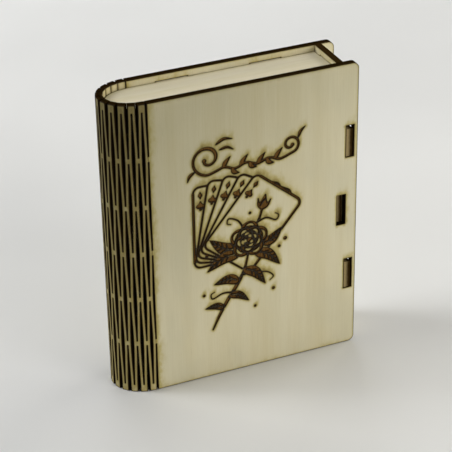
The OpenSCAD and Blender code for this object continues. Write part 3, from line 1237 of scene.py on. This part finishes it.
def build_boards(edge):
    """The three boards, from the bottom up."""
    board_face = ply_face("board_face", srgb(228, 221, 197), 0.7)
    loops = board_loops()
    boards = (("bottom_shelf", "bottom_board"), ("middle_shelf", "deck_divider"), ("top_shelf", "top_board"))
    for i, ((name, node), z) in enumerate(zip(boards, BOARD_Z)):
        board = Plate(loops, on_board(z + PLY), (40 + 60 * i, 200), plain_smoke(loops, 0.35), grain_up=False)
        stand_for(board.finished(name, [board_face, edge]), "tray", node)


def build_fore_edge(cover_face):
    """The fore-edge wall and the closure strip, each with tab ends that are paler on one side: partly less
    charred ply, partly painted light.
    """
    plates = (
        ("fore_edge_plate", wall_loops(), WALL_HIGH[0], 300, "catch_edge", "tray", "fore_edge_wall"),
        ("closure_plate", closure_loops(), CLOSURE_HIGH[0], 350, "closure_edge", "cover", "closure_strip"),
    )
    for name, loops, x_out, sheet_x, edge_name, body, node in plates:
        built = Plate(loops, across(x_out), (sheet_x, 0), plain_smoke(loops, 0.4))
        edge = tab_edge(edge_name, sheet_x - INNER - TAB_GAP)
        stand_for(built.finished(name, [cover_face, edge]), body, node)


def build_hinge():
    """The hinge's links, and the strips that the covers hold."""
    # Painted shade: the hinge's outer face darkens towards the top
    face = ply_face("hinge_face", pale=srgb(208, 196, 154), char_width=0.4, shade_towards=(0, 0.0065, 0),
                    shade_tone=186, honey=srgb(172, 153, 84))
    materials = [face, cut_edge("hinge_edge")]
    for k in range(1, STRIPS):
        hinge_link(k, materials)
    hinge_border("front_hinge_edge", 0, "cover", materials)
    hinge_border("back_hinge_edge", STRIPS - 1, "tray", materials)


# ---- floor, lights and camera
# The camera's place and lens in millimetres, and its angles in degrees
CAMERA_AT = (SPINE_X - 218.35, -612.10, 442.04)
CAMERA_TURN = -22.77
CAMERA_DOWN = 29.61
CAMERA_ROLL = -1.08
LENS = 142.8


def build_floor():
    """A plain pale floor."""
    g = Graph("floor")
    place = g.add("ShaderNodeTexCoord").outputs["Object"]
    cloud = g.noise(place, (6, 6, 6), 2, 0.5)
    grit = g.noise(place, (900, 900, 900), 2, 0.5)
    colour = g.mix(g.ramp(cloud, 0.3, 0.7), srgb(226, 227, 226), srgb(231, 232, 231))
    material = g.finish(colour, 0.8, grit, 0.05, 0.0001, 0.2)
    size = 4.0
    corners = [(*corner, 0) for corner in rectangle(-size, -size, size, size)]
    mesh = bpy.data.meshes.new("floor")
    mesh.from_pydata(corners, [], [(0, 1, 2, 3)])
    mesh.materials.append(material)
    floor = bpy.data.objects.new("floor", mesh)
    floor.location = (0, 0, -0.0001)
    bpy.context.scene.collection.objects.link(floor)


STUDIO_AIM = Vector((0, 0, 0.05))
WARM = (1.0, 0.97, 0.91)
WHITE = (1.0, 1.0, 1.0)
STUDIO_LIGHTS = (
    # name, direction it comes from and height in degrees, distance and size in metres, power in watts, colour
    ("front_low", 300, 18, 1.3, 0.6, 6.5, WARM),
    ("front", 270, 40, 1.3, 0.4, 1.2, WARM),
    ("right", 15, 40, 1.3, 0.4, 2.4, WARM),
    ("right_near", 345, 25, 0.5, 0.3, 0.7, WARM),
    ("behind", 80, 18, 1.3, 0.6, 4.5, WHITE),
    ("behind_left", 100, 18, 1.3, 0.6, 1.9, WHITE),
    ("behind_right", 60, 18, 1.3, 0.6, 2.5, WHITE),
    ("left_behind", 150, 38, 1.3, 0.35, 4.3, WHITE),
    ("left", 165, 50, 1.3, 0.4, 4.4, WHITE),
)


def area_light(name, heading, height, distance, size, power, colour):
    """A square area light that points at the box."""
    data = bpy.data.lights.new(name, "AREA")
    data.shape = "SQUARE"
    data.size = size
    data.energy = power
    data.color = colour
    h, e = math.radians(heading), math.radians(height)
    away = Vector((math.cos(e) * math.cos(h), math.cos(e) * math.sin(h), math.sin(e)))
    obj = bpy.data.objects.new(name, data)
    obj.location = STUDIO_AIM + away * distance
    obj.rotation_euler = away.to_track_quat("Z", "Y").to_euler()
    bpy.context.scene.collection.objects.link(obj)


def build_lights():
    """Soft studio light from all round: low from the front, and higher from the right, the left and behind."""
    world = bpy.data.worlds.new("studio")
    world.use_nodes = True
    background = world.node_tree.nodes["Background"]
    background.inputs["Color"].default_value = (1.0, 1.0, 1.0, 1.0)
    background.inputs["Strength"].default_value = 0.005
    bpy.context.scene.world = world
    for light in STUDIO_LIGHTS:
        area_light(*light)


def build_camera():
    data = bpy.data.cameras.new("camera")
    data.lens = LENS
    data.sensor_width = 36.0
    data.clip_start = 0.01
    data.clip_end = 20.0
    camera = bpy.data.objects.new("camera", data)
    spin = (Matrix.Rotation(math.radians(CAMERA_TURN), 4, "Z")
            @ Matrix.Rotation(math.radians(90 - CAMERA_DOWN), 4, "X")
            @ Matrix.Rotation(math.radians(CAMERA_ROLL), 4, "Z"))
    camera.matrix_world = Matrix.Translation(Vector(CAMERA_AT) * MM) @ spin
    bpy.context.scene.collection.objects.link(camera)
    bpy.context.scene.camera = camera


plain_edge = cut_edge("cut_edge")
plain_face = ply_face("cover_face")
build_covers(plain_face, plain_edge)
build_boards(plain_edge)
build_fore_edge(plain_face)
build_hinge()
build_floor()
build_lights()
build_camera()
bpy.context.scene.view_settings.view_transform = "Standard"
